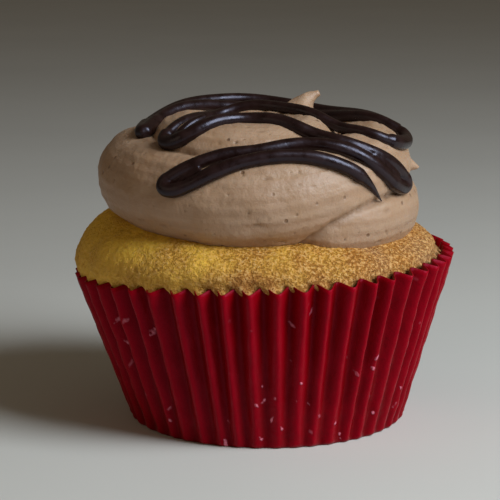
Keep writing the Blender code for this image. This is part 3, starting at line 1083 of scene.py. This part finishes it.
def add_light(name, location, target, power, size, colour):
    bpy.ops.object.light_add(type="AREA", location=location)
    light = bpy.context.object
    light.name = name
    light.data.shape = "RECTANGLE"
    light.data.size, light.data.size_y = size
    light.data.energy = power
    light.data.color = colour
    aim_at(light, target)
    return light


def floor_material(settings):
    material, tree, shader = new_material("pale_floor")
    place = add_node(tree, "ShaderNodeTexCoord").outputs["Object"]
    cloud = add_node(tree, "ShaderNodeTexNoise", {"Vector": place, "Scale": 12.0, "Detail": 3.0})
    darker = tuple(value * 0.96 for value in settings.floor)
    colour = mix_colour(tree, ramp(tree, cloud.outputs["Fac"], 0.3, 0.7), darker, settings.floor)
    tree.links.new(colour, shader.inputs["Base Color"])
    shader.inputs["Roughness"].default_value = 0.7
    return material


def build_stage(settings):
    deselect_all()
    bpy.ops.mesh.primitive_plane_add(size=6.0, location=(0.0, 0.0, 0.0))
    floor = bpy.context.object
    floor.name = "floor"
    floor.data.materials.append(floor_material(settings))
    middle = (0.0, 0.0, 30.0 * MM)
    add_light("window", (0.34, -0.22, 0.34), middle, settings.key_power, (0.24, 0.30), (0.82, 0.92, 1.0))
    add_light("fill", (-0.40, -0.34, 0.20), middle, settings.fill_power, (0.35, 0.30), (1.0, 0.80, 0.52))
    scene = bpy.context.scene
    world = bpy.data.worlds.new("studio")
    world.use_nodes = True
    background = world.node_tree.nodes["Background"]
    background.inputs["Color"].default_value = (1.0, 0.86, 0.66, 1.0)
    background.inputs["Strength"].default_value = settings.world
    scene.world = world
    scene.view_settings.view_transform = "Standard"
    bpy.ops.object.camera_add(location=(0.0, -settings.distance, settings.height))
    camera = bpy.context.object
    camera.data.lens = settings.lens
    camera.data.sensor_width = 36.0
    camera.data.clip_start = 10.0 * MM
    aim_at(camera, settings.aim)
    scene.camera = camera
    deselect_all()


# ----------------------------------------------------------------- operators


class CUPCAKE_OT_add_case(bpy.types.Operator):
    """Add the pleated paper case"""

    bl_idname = "cupcake.add_case"
    bl_label = "Add paper case"

    def execute(self, context):
        settings = context.scene.cupcake_case
        case = build_case(settings)
        finish_piece(case, CASE_NODE, paper_material(settings))
        return {"FINISHED"}


class CUPCAKE_OT_add_sponge(bpy.types.Operator):
    """Add the domed sponge"""

    bl_idname = "cupcake.add_sponge"
    bl_label = "Add sponge"

    def execute(self, context):
        settings = context.scene.cupcake_sponge
        sponge = build_sponge(context.scene.cupcake_case, settings)
        finish_piece(sponge, SPONGE_NODE, sponge_material(settings))
        return {"FINISHED"}


class CUPCAKE_OT_add_icing(bpy.types.Operator):
    """Add the piped buttercream swirl"""

    bl_idname = "cupcake.add_icing"
    bl_label = "Add icing"

    def execute(self, context):
        settings = context.scene.cupcake_icing
        icing = build_icing(context.scene.cupcake_case, context.scene.cupcake_sponge, settings)
        finish_piece(icing, ICING_NODE, icing_material(settings))
        return {"FINISHED"}


class CUPCAKE_OT_add_zigzag(bpy.types.Operator):
    """Add the chocolate zigzag, which lies on the icing"""

    bl_idname = "cupcake.add_zigzag"
    bl_label = "Add chocolate"

    def execute(self, context):
        settings = context.scene.cupcake_zigzag
        zigzag = build_zigzag(settings, bpy.data.objects["buttercream_swirl"])
        finish_piece(zigzag, ZIGZAG_NODE, chocolate_material(settings))
        return {"FINISHED"}


class CUPCAKE_OT_add_stage(bpy.types.Operator):
    """Add the floor, the lights and the camera"""

    bl_idname = "cupcake.add_stage"
    bl_label = "Add stage"

    def execute(self, context):
        build_stage(context.scene.cupcake_stage)
        return {"FINISHED"}


class CUPCAKE_PT_panel(bpy.types.Panel):
    bl_label = "Cupcake"
    bl_idname = "CUPCAKE_PT_panel"
    bl_space_type = "VIEW_3D"
    bl_region_type = "UI"
    bl_category = "Cupcake"

    def draw(self, context):
        for operator in OPERATORS:
            self.layout.operator(operator.bl_idname)


SETTINGS = {
    "cupcake_case": CaseSettings,
    "cupcake_sponge": SpongeSettings,
    "cupcake_icing": IcingSettings,
    "cupcake_zigzag": ZigzagSettings,
    "cupcake_stage": StageSettings,
}
OPERATORS = (
    CUPCAKE_OT_add_case,
    CUPCAKE_OT_add_sponge,
    CUPCAKE_OT_add_icing,
    CUPCAKE_OT_add_zigzag,
    CUPCAKE_OT_add_stage,
)


def register():
    for kind in (*SETTINGS.values(), *OPERATORS, CUPCAKE_PT_panel):
        bpy.utils.register_class(kind)
    for name, kind in SETTINGS.items():
        setattr(bpy.types.Scene, name, PointerProperty(type=kind))


def unregister():
    for name in SETTINGS:
        delattr(bpy.types.Scene, name)
    for kind in (CUPCAKE_PT_panel, *reversed(OPERATORS), *reversed(SETTINGS.values())):
        bpy.utils.unregister_class(kind)


def main():
    register()
    bpy.ops.cupcake.add_case()
    bpy.ops.cupcake.add_sponge()
    bpy.ops.cupcake.add_icing()
    bpy.ops.cupcake.add_zigzag()
    bpy.ops.cupcake.add_stage()


if __name__ == "__main__":
    main()
